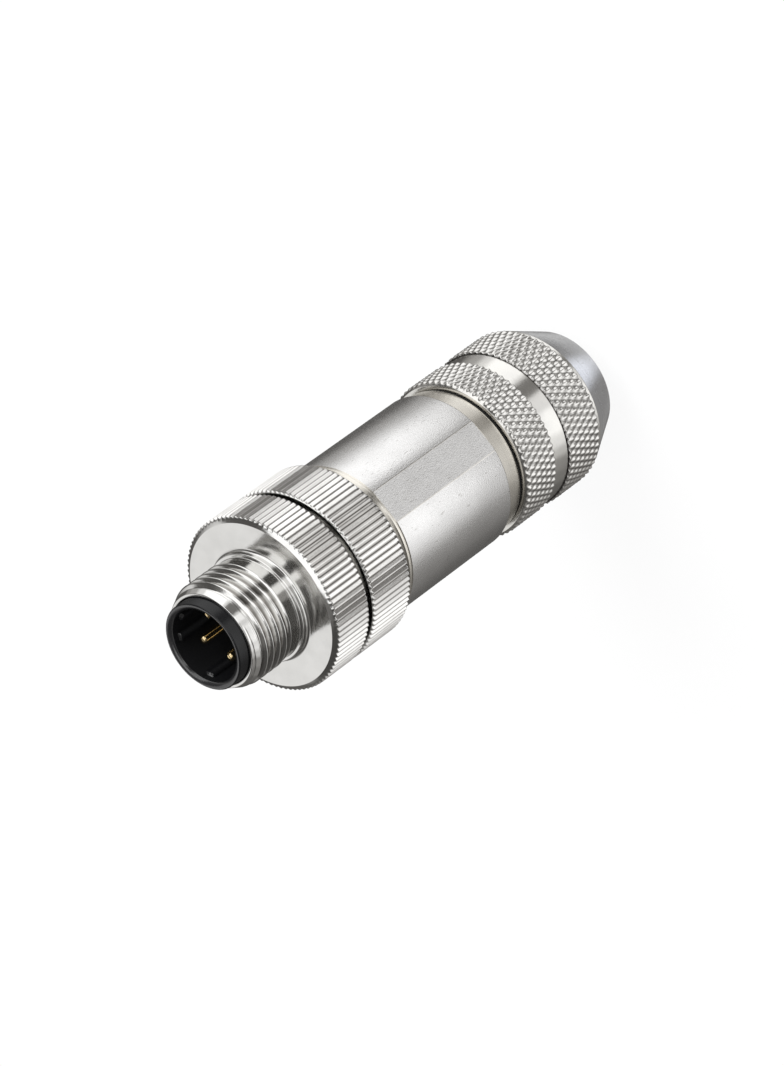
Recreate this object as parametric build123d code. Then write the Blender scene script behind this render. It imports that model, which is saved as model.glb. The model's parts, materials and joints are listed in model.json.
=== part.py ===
from build123d import *
from math import cos, pi, radians, sin, tan
import os

# Straight screw-coupled circular connector with male contacts and a metal housing, in millimetres.
# It stands on its cable end: Z is the axis, the mating end points up, and z = 0 is the nut's end face.

# Lengths of the outer pieces, from the cable end up
NUT_LENGTH = 18.35
NUT_GAP = 0.2
COLLAR_LENGTH = 2.4
BARREL_LENGTH = 18.2
GRIP_RING_LENGTH = 6.1
RING_GAP = 0.65
COUPLING_RING_LENGTH = 5.35
SLEEVE_LENGTH = 7.85
RIM_STAND_OUT = 1.3

# Radii that show outside
THREAD_RADIUS = 6.0
RING_RADIUS = 10.0
BARREL_RADIUS = 9.0
CABLE_HOLE_RADIUS = 4.25

# Clearances, all on the radius or along the axis
RUNNING_FIT = 0.1
SEAT_FIT = 0.03
LOOSE_GAP = 0.3

# Straight knurl of the coupling ring and the grip ring
KNURL_TEETH = 96
KNURL_DEPTH = 0.27
RING_FRONT_CHAMFER = 0.4
RING_BACK_CHAMFER = 0.25

# Coupling screw
SLEEVE_NOSE_RADIUS = 5.35
LEAD_IN_LENGTH = 1.4
THREAD_LENGTH = 5.5
SHANK_RADIUS = 5.8
BOSS_RADIUS = 6.2
BOSS_LENGTH = 0.75
BOSS_FILLET = 0.55
DISC_THICKNESS = 1.7

# Spring ring that keeps the coupling screw on the holder, in a groove of each
RETAINER_THICKNESS = 0.8
RETAINER_DROP = 3.55
RETAINER_BITE = 0.45
RETAINER_SPLIT_WIDTH = 3.4
RETAINER_SPLIT_ANGLE = 90

# Holder of the contact insert
HOLDER_FRONT_NECK_RADIUS = 7.8
HOLDER_FRONT_NECK_END_GAP = 0.25
HOLDER_THREAD_LENGTH = 6.15
HOLDER_LIP_LENGTH = 1.0
HOLDER_WALL = 1.02

# Moulded contact insert
CUP_OUTER_RADIUS = 4.9
CUP_INNER_RADIUS = 4.15
CUP_DEPTH = 10.3
RIM_LAND = 0.3
RIM_BEVEL = 0.3
RIM_CHAMFER = 0.12
INSERT_FLANGE_LENGTH = 3.8
INSERT_FLANGE_STEP = 0.85
TERMINAL_BLOCK_LENGTH = 17.5
BLOCK_FLUTE_RADIUS = 1.1
KEY_ANGLE = 0
KEY_WIDTH = 1.2
KEY_HEIGHT = 0.6
KEY_DROP = 1.2
GUIDE_RIB_ANGLES = (165, 205, 280)
GUIDE_RIB_WIDTH = 0.9
GUIDE_RIB_HEIGHT = 0.45
GUIDE_RIB_DROP = 1.0

# Contacts: three of the four places on the contact circle are filled
CONTACT_CIRCLE_RADIUS = 2.5
CONTACT_ANGLES = {"pin_1": -45, "pin_3": 135, "pin_4": 225}
EMPTY_PLACE_ANGLE = 45
PIN_RADIUS = 0.5
PIN_TIP_DROP = 2.35
PIN_TIP_CHAMFER = 0.22
SHANK_LENGTH = 10.8
CONTACT_SHANK_RADIUS = 0.8
CONTACT_ROOT_DEPTH = 3.1
BARREL_TERMINAL_RADIUS = 1.3
BARREL_TERMINAL_LENGTH = 9.0
WIRE_BORE_RADIUS = 0.85
WIRE_BORE_DEPTH = 6.0
TERMINAL_SCREW_RADIUS = 0.65
TERMINAL_SCREW_FROM_END = 3.0
TERMINAL_SCREW_RECESS = 0.2
SCREW_SLOT_WIDTH = 0.3
SCREW_SLOT_DEPTH = 0.4

# Square-cut seals, given by half the width of their section
SEAL_CHAMFER = 0.12
SEAL_GROOVE_WIDTH = 1.1
INSERT_SEAL_HALF_WIDTH = 0.42
HOUSING_SEAL_HALF_WIDTH = 0.45
NUT_SEAL_HALF_WIDTH = 0.45

# Threaded ring behind the insert
LOCK_RING_LENGTH = 2.0
LOCK_RING_SLOT_WIDTH = 1.2
LOCK_RING_SLOT_DEPTH = 0.8

# Housing, with its steps counted inwards from the barrel
COLLAR_STEP = 0.5
COLLAR_CHAMFER = 0.2
HOUSING_NOSE_STEP = 0.4
HOUSING_NOSE_LENGTH = 0.7
HOUSING_NOSE_CHAMFER = 0.4
HOUSING_NOSE_WALL = 0.7
HOUSING_THREAD_STEP = 0.3
LAND_LENGTH = 0.35
LAND_GROOVE_DEPTH = 0.12
BARREL_EDGE = 0.15
BARREL_WALL = 2.0
FLAT_ANGLE = 62
FLAT_WIDTH = 3.9
WEB_STEP = 1.8
WEB_LENGTH = 1.5
REAR_THREAD_STEP = 1.1
REAR_THREAD_LENGTH = 8.55
REAR_WALL = 1.0
SLEEVE_WALL = 0.6

# Screen connection at the housing's inner web
SHIELD_FLANGE_THICKNESS = 1.0
SHIELD_FLANGE_STEP = 1.7
SHIELD_WALL = 0.8
SHIELD_NOSE_TAPER = 0.35
SHIELD_NOSE_LENGTH = 1.5
SHIELD_SPRING_THICKNESS = 0.35
SHIELD_SPRING_FINGERS = 12
SHIELD_SPRING_SLOT_WIDTH = 0.4
SHIELD_SPRING_SLOT_LENGTH = 0.8

# Cable clamp
CAGE_RING_LENGTH = 5.5
CAGE_WALL = 1.35
CAGE_FINGERS = 8
CAGE_SLOT_WIDTH = 0.9
CAGE_TIP_WALL = 0.8
CAGE_LIP_LENGTH = 1.0
CAGE_TIP_GAP = 0.5
CABLE_SEAL_RADIUS = 3.2
CABLE_SEAL_RELIEF = 0.4
CABLE_SEAL_RIBS = 4
PRESSURE_WASHER_THICKNESS = 0.5
PRESSURE_WASHER_BORE_RADIUS = 3.6
PRESSURE_WASHER_DROP = 1.2

# Clamp nut, from the cable end up, standing a little proud of the barrel
NUT_END_RADIUS = 6.5
NUT_END_CHAMFER = 0.15
NUT_CONE_LENGTH = 5.3
NUT_CONE_STAND_OUT = 0.2
NUT_REAR_BAND_START = 5.76
NUT_REAR_BAND_LENGTH = 5.29
NUT_REAR_BAND_STAND_OUT = 0.35
NUT_GROOVE_LENGTH = 2.34
NUT_GROOVE_STAND_OUT = 0.07
NUT_FRONT_BAND_STAND_OUT = 0.28
NUT_BAND_CHAMFER = 0.2
NUT_FRONT_CHAMFER = 0.4
CABLE_HOLE_LENGTH = 3.4
CABLE_HOLE_CHAMFER = 0.3
CLAMP_CONE_DEPTH = 1.8
CLAMP_CONE_ANGLE = 30
NUT_THREAD_START = 9.5
NUT_SEAL_STEP = 0.4

# Heights of the faces where pieces meet
nut_front = NUT_LENGTH
collar_end = nut_front + NUT_GAP
barrel_end = collar_end + COLLAR_LENGTH
housing_front = barrel_end + BARREL_LENGTH
grip_front = housing_front + GRIP_RING_LENGTH
ring_back = grip_front + RING_GAP
ring_front = ring_back + COUPLING_RING_LENGTH
sleeve_front = ring_front + SLEEVE_LENGTH
rim_front = sleeve_front + RIM_STAND_OUT
disc_back = ring_front - DISC_THICKNESS
holder_neck_front = disc_back - HOLDER_FRONT_NECK_END_GAP
holder_lip_back = holder_neck_front - HOLDER_LIP_LENGTH
retainer_middle = ring_front - RETAINER_DROP
holder_end = housing_front - HOLDER_THREAD_LENGTH
cup_floor = rim_front - CUP_DEPTH
flange_back = holder_lip_back - INSERT_FLANGE_LENGTH
insert_seal_middle = (holder_lip_back + flange_back) / 2
block_end = flange_back - TERMINAL_BLOCK_LENGTH
contact_root = cup_floor - CONTACT_ROOT_DEPTH
terminal_front = contact_root - SHANK_LENGTH
terminal_end = terminal_front - BARREL_TERMINAL_LENGTH
terminal_screw_height = terminal_end + TERMINAL_SCREW_FROM_END
housing_seal_floor = housing_front - SEAL_GROOVE_WIDTH
land_front = housing_front - HOUSING_NOSE_LENGTH - HOUSING_NOSE_CHAMFER
satin_front = land_front - LAND_LENGTH
web_back = barrel_end
web_front = web_back + WEB_LENGTH
chamber_front = holder_end - LOOSE_GAP
liner_front = chamber_front - LOOSE_GAP
rear_thread_end = collar_end - REAR_THREAD_LENGTH
shield_flange_back = web_back - SHIELD_FLANGE_THICKNESS
shield_spring_back = shield_flange_back - SHIELD_SPRING_THICKNESS
cage_top = shield_spring_back - LOOSE_GAP
cage_root = cage_top - CAGE_RING_LENGTH
cage_tip = CABLE_HOLE_LENGTH + CAGE_TIP_GAP
cage_lip_top = cage_tip + CAGE_LIP_LENGTH
washer_top = cage_top - PRESSURE_WASHER_DROP
washer_bottom = washer_top - PRESSURE_WASHER_THICKNESS
nut_seal_floor = collar_end - SEAL_GROOVE_WIDTH
nut_rear_band_end = NUT_REAR_BAND_START + NUT_REAR_BAND_LENGTH
nut_front_band_start = nut_rear_band_end + NUT_GROOVE_LENGTH

# Radii of the housing, inwards from the barrel
collar_radius = BARREL_RADIUS - COLLAR_STEP
housing_nose_radius = BARREL_RADIUS - HOUSING_NOSE_STEP
housing_seal_bore_radius = housing_nose_radius - HOUSING_NOSE_WALL
housing_thread_bore_radius = housing_seal_bore_radius - HOUSING_THREAD_STEP
chamber_radius = BARREL_RADIUS - BARREL_WALL
web_radius = chamber_radius - WEB_STEP
rear_thread_radius = BARREL_RADIUS - REAR_THREAD_STEP
rear_bore_radius = rear_thread_radius - REAR_WALL
flat_distance = (BARREL_RADIUS**2 - (FLAT_WIDTH / 2) ** 2) ** 0.5

# Radii of the holder and the insert
insert_bore_radius = CUP_OUTER_RADIUS + RUNNING_FIT
holder_thread_radius = housing_thread_bore_radius - RUNNING_FIT
holder_bore_radius = holder_thread_radius - HOLDER_WALL
insert_flange_radius = holder_bore_radius - SEAT_FIT
terminal_block_radius = insert_flange_radius - INSERT_FLANGE_STEP
retainer_inner_radius = HOLDER_FRONT_NECK_RADIUS - RETAINER_BITE
ring_counterbore_radius = HOLDER_FRONT_NECK_RADIUS + RUNNING_FIT
retainer_outer_radius = ring_counterbore_radius + RETAINER_BITE

# Radii of the nut and of what it clamps
nut_cone_top_radius = BARREL_RADIUS + NUT_CONE_STAND_OUT
nut_rear_band_radius = BARREL_RADIUS + NUT_REAR_BAND_STAND_OUT
nut_groove_radius = BARREL_RADIUS + NUT_GROOVE_STAND_OUT
nut_front_band_radius = BARREL_RADIUS + NUT_FRONT_BAND_STAND_OUT
nut_thread_bore_radius = rear_thread_radius + RUNNING_FIT
nut_face_bore_radius = nut_thread_bore_radius + NUT_SEAL_STEP
clamp_cone_top_radius = rear_bore_radius + RUNNING_FIT
clamp_cone_start_radius = clamp_cone_top_radius - CLAMP_CONE_DEPTH
cage_radius = rear_bore_radius - RUNNING_FIT
cage_bore_radius = cage_radius - CAGE_WALL
cage_lip_radius = clamp_cone_start_radius - CAGE_TIP_WALL
shield_radius = rear_bore_radius - SEAT_FIT
shield_nose_radius = rear_bore_radius - SHIELD_FLANGE_STEP
shield_bore_radius = shield_nose_radius - SHIELD_WALL
liner_radius = chamber_radius - RUNNING_FIT

# Middle radii of the seals
insert_seal_middle_radius = insert_flange_radius - INSERT_SEAL_HALF_WIDTH
housing_seal_middle_radius = housing_seal_bore_radius - RUNNING_FIT - HOUSING_SEAL_HALF_WIDTH
nut_seal_middle_radius = nut_face_bore_radius - RUNNING_FIT - NUT_SEAL_HALF_WIDTH


def turned(*corners):
    """Solid turned about Z from the corners of its half section: (radius, height[, rounding])."""
    section = make_face(Polyline(*[corner[:2] for corner in corners], close=True))
    for corner in corners:
        if len(corner) > 2:
            vertex = section.vertices().sort_by_distance((corner[0], corner[1], 0))[0]
            section = fillet(vertex, corner[2])
    return revolve(Plane.XZ * section, Axis.Z)


def disc(radius, bottom, top):
    """Plain cylinder on the axis between two heights."""
    return turned((0, bottom), (radius, bottom), (radius, top), (0, top))


def at_angle(angle, radius=0, height=0):
    """Place turned about the axis, then moved out along its own X and up."""
    return Rot(0, 0, angle) * Pos(radius, 0, height)


def with_straight_knurl(blank, radius, bottom, top):
    """Blank with V grooves all round between two heights, their sides at 45 degrees to the radius."""
    half_pitch = pi / KNURL_TEETH
    groove_floor = radius - KNURL_DEPTH
    crest = groove_floor + radius * half_pitch
    corners = []
    for tooth in range(KNURL_TEETH):
        crest_angle = 2 * tooth * half_pitch
        root_angle = crest_angle + half_pitch
        corners.append((crest * cos(crest_angle), crest * sin(crest_angle)))
        corners.append((groove_floor * cos(root_angle), groove_floor * sin(root_angle)))
    teeth = make_face(Polyline(*corners, close=True))
    waste = Circle(radius + KNURL_DEPTH) - teeth
    return blank - Pos(0, 0, bottom) * extrude(waste, top - bottom)


def sealing_ring(middle_radius, middle_height, half_width):
    """Square-cut rubber ring with its corners chamfered."""
    section = Pos(middle_radius, middle_height) * Rectangle(2 * half_width, 2 * half_width)
    section = chamfer(section.vertices(), SEAL_CHAMFER)
    return revolve(Plane.XZ * section, Axis.Z)


def coupling_screw():
    """Threaded sleeve and knurled ring in one piece, free to turn on the holder."""
    boss_front = ring_front + BOSS_LENGTH
    thread_end = sleeve_front - THREAD_LENGTH
    groove_half = RETAINER_THICKNESS / 2 + RUNNING_FIT
    groove_radius = retainer_outer_radius + RUNNING_FIT
    blank = turned(
        (insert_bore_radius, disc_back),
        (insert_bore_radius, sleeve_front),
        (SLEEVE_NOSE_RADIUS, sleeve_front),
        (THREAD_RADIUS, sleeve_front - LEAD_IN_LENGTH),
        (THREAD_RADIUS, thread_end),
        (SHANK_RADIUS, thread_end - (THREAD_RADIUS - SHANK_RADIUS)),
        (SHANK_RADIUS, boss_front),
        (BOSS_RADIUS, boss_front),
        (BOSS_RADIUS, ring_front, BOSS_FILLET),
        (RING_RADIUS - RING_FRONT_CHAMFER, ring_front),
        (RING_RADIUS, ring_front - RING_FRONT_CHAMFER),
        (RING_RADIUS, ring_back + RING_BACK_CHAMFER),
        (RING_RADIUS - RING_BACK_CHAMFER, ring_back),
        (ring_counterbore_radius, ring_back),
        (ring_counterbore_radius, retainer_middle - groove_half),
        (groove_radius, retainer_middle - groove_half),
        (groove_radius, retainer_middle + groove_half),
        (ring_counterbore_radius, retainer_middle + groove_half),
        (ring_counterbore_radius, disc_back),
    )
    return with_straight_knurl(blank, RING_RADIUS, ring_back, ring_front)


def insert_holder():
    """Knurled grip ring with the neck that carries the coupling screw and the housing's thread."""
    groove_half = RETAINER_THICKNESS / 2 + SEAT_FIT
    groove_radius = retainer_inner_radius - SEAT_FIT
    seal_seat = housing_seal_middle_radius - HOUSING_SEAL_HALF_WIDTH - SEAT_FIT
    blank = turned(
        (holder_bore_radius, holder_end),
        (holder_thread_radius, holder_end),
        (holder_thread_radius, housing_seal_floor),
        (seal_seat, housing_seal_floor),
        (seal_seat, housing_front),
        (RING_RADIUS - RING_BACK_CHAMFER, housing_front),
        (RING_RADIUS, housing_front + RING_BACK_CHAMFER),
        (RING_RADIUS, grip_front - RING_FRONT_CHAMFER),
        (RING_RADIUS - RING_FRONT_CHAMFER, grip_front),
        (HOLDER_FRONT_NECK_RADIUS, grip_front),
        (HOLDER_FRONT_NECK_RADIUS, retainer_middle - groove_half),
        (groove_radius, retainer_middle - groove_half),
        (groove_radius, retainer_middle + groove_half),
        (HOLDER_FRONT_NECK_RADIUS, retainer_middle + groove_half),
        (HOLDER_FRONT_NECK_RADIUS, holder_neck_front),
        (insert_bore_radius, holder_neck_front),
        (insert_bore_radius, holder_lip_back),
        (holder_bore_radius, holder_lip_back),
    )
    return with_straight_knurl(blank, RING_RADIUS, housing_front, grip_front)


def retaining_ring():
    """Split spring ring in the holder's groove."""
    bottom = retainer_middle - RETAINER_THICKNESS / 2
    top = retainer_middle + RETAINER_THICKNESS / 2
    ring = disc(retainer_outer_radius, bottom, top) - disc(retainer_inner_radius, bottom, top)
    split = Box(retainer_outer_radius, RETAINER_SPLIT_WIDTH, RETAINER_THICKNESS)
    return ring - at_angle(RETAINER_SPLIT_ANGLE, retainer_outer_radius, retainer_middle) * split


def inner_rib(angle, height, width, drop):
    """Rib on the cup's wall from its floor to a height under the rim, tied into the wall."""
    length = CUP_DEPTH - drop
    root = (CUP_OUTER_RADIUS + CUP_INNER_RADIUS) / 2
    thickness = root - CUP_INNER_RADIUS + height
    return at_angle(angle, root - thickness / 2, cup_floor + length / 2) * Box(thickness, width, length)


def contact_insert():
    """Moulded insert: mating cup with its key and ribs, flange, and terminal block."""
    groove_half = SEAL_GROOVE_WIDTH / 2
    groove_floor = insert_seal_middle_radius - INSERT_SEAL_HALF_WIDTH - SEAT_FIT
    body = turned(
        (0, block_end),
        (terminal_block_radius, block_end),
        (terminal_block_radius, flange_back),
        (insert_flange_radius, flange_back),
        (insert_flange_radius, insert_seal_middle - groove_half),
        (groove_floor, insert_seal_middle - groove_half),
        (groove_floor, insert_seal_middle + groove_half),
        (insert_flange_radius, insert_seal_middle + groove_half),
        (insert_flange_radius, holder_lip_back),
        (CUP_OUTER_RADIUS, holder_lip_back),
        (CUP_OUTER_RADIUS, rim_front - RIM_CHAMFER),
        (CUP_OUTER_RADIUS - RIM_CHAMFER, rim_front),
        (CUP_OUTER_RADIUS - RIM_LAND, rim_front),
        (CUP_INNER_RADIUS, rim_front - RIM_BEVEL),
        (CUP_INNER_RADIUS, cup_floor),
        (0, cup_floor),
    )
    body += inner_rib(KEY_ANGLE, KEY_HEIGHT, KEY_WIDTH, KEY_DROP)
    for angle in GUIDE_RIB_ANGLES:
        body += inner_rib(angle, GUIDE_RIB_HEIGHT, GUIDE_RIB_WIDTH, GUIDE_RIB_DROP)
    flute = Cylinder(BLOCK_FLUTE_RADIUS, TERMINAL_BLOCK_LENGTH)
    for quarter in range(4):
        body -= at_angle(90 * quarter, terminal_block_radius, (block_end + flange_back) / 2) * flute
    for angle in CONTACT_ANGLES.values():
        body -= at_angle(angle, CONTACT_CIRCLE_RADIUS) * contact_blank(SEAT_FIT, block_end, cup_floor)
        body -= screw_hole(angle)
    empty_place = disc(BARREL_TERMINAL_RADIUS + SEAT_FIT, block_end, terminal_front)
    return body - at_angle(EMPTY_PLACE_ANGLE, CONTACT_CIRCLE_RADIUS) * empty_place


def contact_blank(growth, end, tip):
    """Stepped outline of a contact on its own axis, grown all round, between two heights."""
    return turned(
        (0, end),
        (BARREL_TERMINAL_RADIUS + growth, end),
        (BARREL_TERMINAL_RADIUS + growth, terminal_front),
        (CONTACT_SHANK_RADIUS + growth, terminal_front),
        (CONTACT_SHANK_RADIUS + growth, contact_root),
        (PIN_RADIUS + growth, contact_root),
        (PIN_RADIUS + growth, tip),
        (0, tip),
    )


def radial_bar(angle, radius, start, end):
    """Round bar that points outwards at a terminal's screw height, between two distances from the axis."""
    bar = Rot(0, 90, 0) * Cylinder(radius, end - start)
    return at_angle(angle, (start + end) / 2, terminal_screw_height) * bar


def screw_hole(angle):
    """Hole for a terminal's set screw, from the contact's own axis out through the block."""
    return radial_bar(angle, TERMINAL_SCREW_RADIUS + SEAT_FIT, CONTACT_CIRCLE_RADIUS, insert_flange_radius)


def contact(angle):
    """Turned contact: round pin at the front, drilled terminal with a cross hole at the back."""
    pin_tip = rim_front - PIN_TIP_DROP
    blank = contact_blank(0, terminal_end, pin_tip)
    blank = chamfer(blank.edges().sort_by(Axis.Z)[-1], PIN_TIP_CHAMFER)
    blank -= disc(WIRE_BORE_RADIUS, terminal_end, terminal_end + WIRE_BORE_DEPTH)
    return at_angle(angle, CONTACT_CIRCLE_RADIUS) * blank - screw_hole(angle)


def terminal_screw(angle):
    """Slotted set screw that clamps the wire."""
    tip = CONTACT_CIRCLE_RADIUS + WIRE_BORE_RADIUS
    head = terminal_block_radius - TERMINAL_SCREW_RECESS
    slot = Box(2 * SCREW_SLOT_DEPTH, SCREW_SLOT_WIDTH, 4 * TERMINAL_SCREW_RADIUS)
    screw = radial_bar(angle, TERMINAL_SCREW_RADIUS, tip, head)
    return screw - at_angle(angle, head, terminal_screw_height) * slot


def terminal_screws():
    """The three set screws of the terminals."""
    return Compound([terminal_screw(angle).solid() for angle in CONTACT_ANGLES.values()])


def insert_lock_ring():
    """Threaded ring behind the insert's flange, with two spanner slots."""
    bottom = flange_back - LOCK_RING_LENGTH
    ring = disc(insert_flange_radius, bottom, flange_back)
    ring -= disc(terminal_block_radius + SEAT_FIT, bottom, flange_back)
    slot = Box(4 * insert_flange_radius, LOCK_RING_SLOT_WIDTH, 2 * LOCK_RING_SLOT_DEPTH)
    return ring - Pos(0, 0, bottom) * slot


def insert_seal():
    """Ring that seals the insert in the holder."""
    return sealing_ring(insert_seal_middle_radius, insert_seal_middle, INSERT_SEAL_HALF_WIDTH)


def housing_seal():
    """Ring between the holder's neck and the housing."""
    height = housing_front - SEAL_GROOVE_WIDTH / 2
    return sealing_ring(housing_seal_middle_radius, height, HOUSING_SEAL_HALF_WIDTH)


def housing():
    """Turned barrel with spanner flats, a collar, and a thread at each end."""
    seal_seat = nut_seal_middle_radius - NUT_SEAL_HALF_WIDTH - SEAT_FIT
    body = turned(
        (rear_bore_radius, rear_thread_end),
        (rear_thread_radius, rear_thread_end),
        (rear_thread_radius, nut_seal_floor),
        (seal_seat, nut_seal_floor),
        (seal_seat, collar_end),
        (collar_radius - COLLAR_CHAMFER, collar_end),
        (collar_radius, collar_end + COLLAR_CHAMFER),
        (collar_radius, barrel_end),
        (BARREL_RADIUS - BARREL_EDGE, barrel_end),
        (BARREL_RADIUS, barrel_end + BARREL_EDGE),
        (BARREL_RADIUS, satin_front - LAND_GROOVE_DEPTH),
        (BARREL_RADIUS - LAND_GROOVE_DEPTH, satin_front),
        (BARREL_RADIUS, satin_front + LAND_GROOVE_DEPTH),
        (BARREL_RADIUS, land_front),
        (housing_nose_radius, land_front + HOUSING_NOSE_CHAMFER),
        (housing_nose_radius, housing_front),
        (housing_seal_bore_radius, housing_front),
        (housing_seal_bore_radius, housing_seal_floor),
        (housing_thread_bore_radius, housing_seal_floor),
        (housing_thread_bore_radius, chamber_front),
        (chamber_radius, chamber_front),
        (chamber_radius, web_front),
        (web_radius, web_front),
        (web_radius, web_back),
        (rear_bore_radius, web_back),
    )
    flat_length = satin_front - barrel_end
    waste = BARREL_RADIUS - flat_distance
    for angle in (FLAT_ANGLE, FLAT_ANGLE + 180):
        cutter = Box(2 * waste, 2 * FLAT_WIDTH, flat_length)
        body -= at_angle(angle, flat_distance + waste, barrel_end + flat_length / 2) * cutter
    return body


def insulating_sleeve():
    """Thin moulded liner between the terminals and the metal housing."""
    bore = disc(liner_radius - SLEEVE_WALL, web_front, liner_front)
    return disc(liner_radius, web_front, liner_front) - bore


def shield_ring():
    """Flanged metal ring on whose nose the cable's screen is folded back."""
    nose_end = shield_flange_back - SHIELD_NOSE_LENGTH
    return turned(
        (shield_bore_radius, nose_end),
        (shield_nose_radius - SHIELD_NOSE_TAPER, nose_end),
        (shield_nose_radius, shield_flange_back),
        (shield_radius, shield_flange_back),
        (shield_radius, web_back),
        (shield_bore_radius, web_back),
    )


def shield_spring():
    """Thin contact ring with inward fingers, under the shield ring's flange."""
    bore = shield_nose_radius + SEAT_FIT
    ring = disc(shield_radius, shield_spring_back, shield_flange_back)
    ring -= disc(bore, shield_spring_back, shield_flange_back)
    slot = Box(2 * SHIELD_SPRING_SLOT_LENGTH, SHIELD_SPRING_SLOT_WIDTH, 2 * SHIELD_SPRING_THICKNESS)
    for finger in range(SHIELD_SPRING_FINGERS):
        ring -= at_angle(360 * finger / SHIELD_SPRING_FINGERS, bore, shield_spring_back) * slot
    return ring


def pressure_washer():
    """Flat washer on top of the cable seal."""
    bore = disc(PRESSURE_WASHER_BORE_RADIUS, washer_bottom, washer_top)
    return disc(cage_bore_radius - SEAT_FIT, washer_bottom, washer_top) - bore


def cable_seal():
    """Rubber sleeve with ribs inside that closes on the cable."""
    outer = cage_bore_radius - SEAT_FIT
    length = washer_bottom - cage_lip_top
    pitch = length / CABLE_SEAL_RIBS
    relief = CABLE_SEAL_RADIUS + CABLE_SEAL_RELIEF
    inner_corners = []
    for rib in range(CABLE_SEAL_RIBS):
        rib_middle = washer_bottom - pitch * (rib + 0.5)
        inner_corners.append((relief, rib_middle + pitch / 2 if rib else washer_bottom))
        inner_corners.append((CABLE_SEAL_RADIUS, rib_middle))
    inner_corners.append((relief, cage_lip_top))
    return turned((outer, cage_lip_top), (outer, washer_bottom), *inner_corners)


def clamping_cage():
    """Slotted plastic cage whose fingers the nut's inner cone closes."""
    cone_run = (cage_radius - clamp_cone_start_radius) / tan(radians(CLAMP_CONE_ANGLE)) + CAGE_TIP_GAP
    tip_radius = clamp_cone_start_radius
    cage = turned(
        (cage_lip_radius, cage_tip),
        (tip_radius, cage_tip),
        (cage_radius, cage_tip + cone_run),
        (cage_radius, cage_top),
        (cage_bore_radius, cage_top),
        (cage_bore_radius, cage_lip_top),
        (cage_lip_radius, cage_lip_top),
    )
    slot_length = cage_root - cage_tip
    slot = Box(cage_radius, CAGE_SLOT_WIDTH, slot_length)
    for finger in range(CAGE_FINGERS):
        cage -= at_angle(360 * finger / CAGE_FINGERS, cage_radius, cage_tip + slot_length / 2) * slot
    return cage


def nut_seal():
    """Ring in the groove behind the housing's rear thread."""
    return sealing_ring(nut_seal_middle_radius, collar_end - SEAL_GROOVE_WIDTH / 2, NUT_SEAL_HALF_WIDTH)


def clamp_nut():
    """Nut with two knurled bands, a groove between them and a coned cable end."""
    cone_top = CABLE_HOLE_LENGTH + CLAMP_CONE_DEPTH / tan(radians(CLAMP_CONE_ANGLE))
    return turned(
        (CABLE_HOLE_RADIUS + CABLE_HOLE_CHAMFER, 0),
        (NUT_END_RADIUS - NUT_END_CHAMFER, 0),
        (NUT_END_RADIUS, NUT_END_CHAMFER),
        (nut_cone_top_radius, NUT_CONE_LENGTH),
        (nut_cone_top_radius, NUT_REAR_BAND_START),
        (nut_rear_band_radius, NUT_REAR_BAND_START),
        (nut_rear_band_radius, nut_rear_band_end - NUT_BAND_CHAMFER),
        (nut_groove_radius, nut_rear_band_end),
        (nut_groove_radius, nut_front_band_start),
        (nut_front_band_radius, nut_front_band_start),
        (nut_front_band_radius, nut_front - NUT_FRONT_CHAMFER),
        (nut_front_band_radius - NUT_FRONT_CHAMFER, nut_front),
        (nut_face_bore_radius, nut_front),
        (nut_face_bore_radius, nut_seal_floor),
        (nut_thread_bore_radius, nut_seal_floor),
        (nut_thread_bore_radius, NUT_THREAD_START),
        (clamp_cone_top_radius, NUT_THREAD_START),
        (clamp_cone_top_radius, cone_top),
        (clamp_cone_start_radius, CABLE_HOLE_LENGTH),
        (CABLE_HOLE_RADIUS, CABLE_HOLE_LENGTH),
        (CABLE_HOLE_RADIUS, CABLE_HOLE_CHAMFER),
    )


pieces = {
    "coupling_screw": coupling_screw(),
    "insert_holder": insert_holder(),
    "retaining_ring": retaining_ring(),
    "contact_insert": contact_insert(),
    "terminal_screws": terminal_screws(),
    "insert_seal": insert_seal(),
    "insert_lock_ring": insert_lock_ring(),
    "housing_seal": housing_seal(),
    "insulating_sleeve": insulating_sleeve(),
    "housing": housing(),
    "shield_ring": shield_ring(),
    "shield_spring": shield_spring(),
    "nut_seal": nut_seal(),
    "pressure_washer": pressure_washer(),
    "cable_seal": cable_seal(),
    "clamping_cage": clamping_cage(),
    "clamp_nut": clamp_nut(),
}
for pin_name, pin_angle in CONTACT_ANGLES.items():
    pieces[pin_name] = contact(pin_angle)

os.makedirs("parts", exist_ok=True)
for name, piece in pieces.items():
    export_step(piece, f"parts/{name}.step")
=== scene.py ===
"""Circular connector: plated rings, satin housing, knurled clamp nut, moulded insert and gold contacts."""
import json
import logging
from collections.abc import Callable
from dataclasses import dataclass, replace
from enum import Enum
from functools import cache
from math import asin, atan2, cos, pi, radians, sin, tan

import bmesh
import bpy
from mathutils import Matrix, Vector


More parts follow.
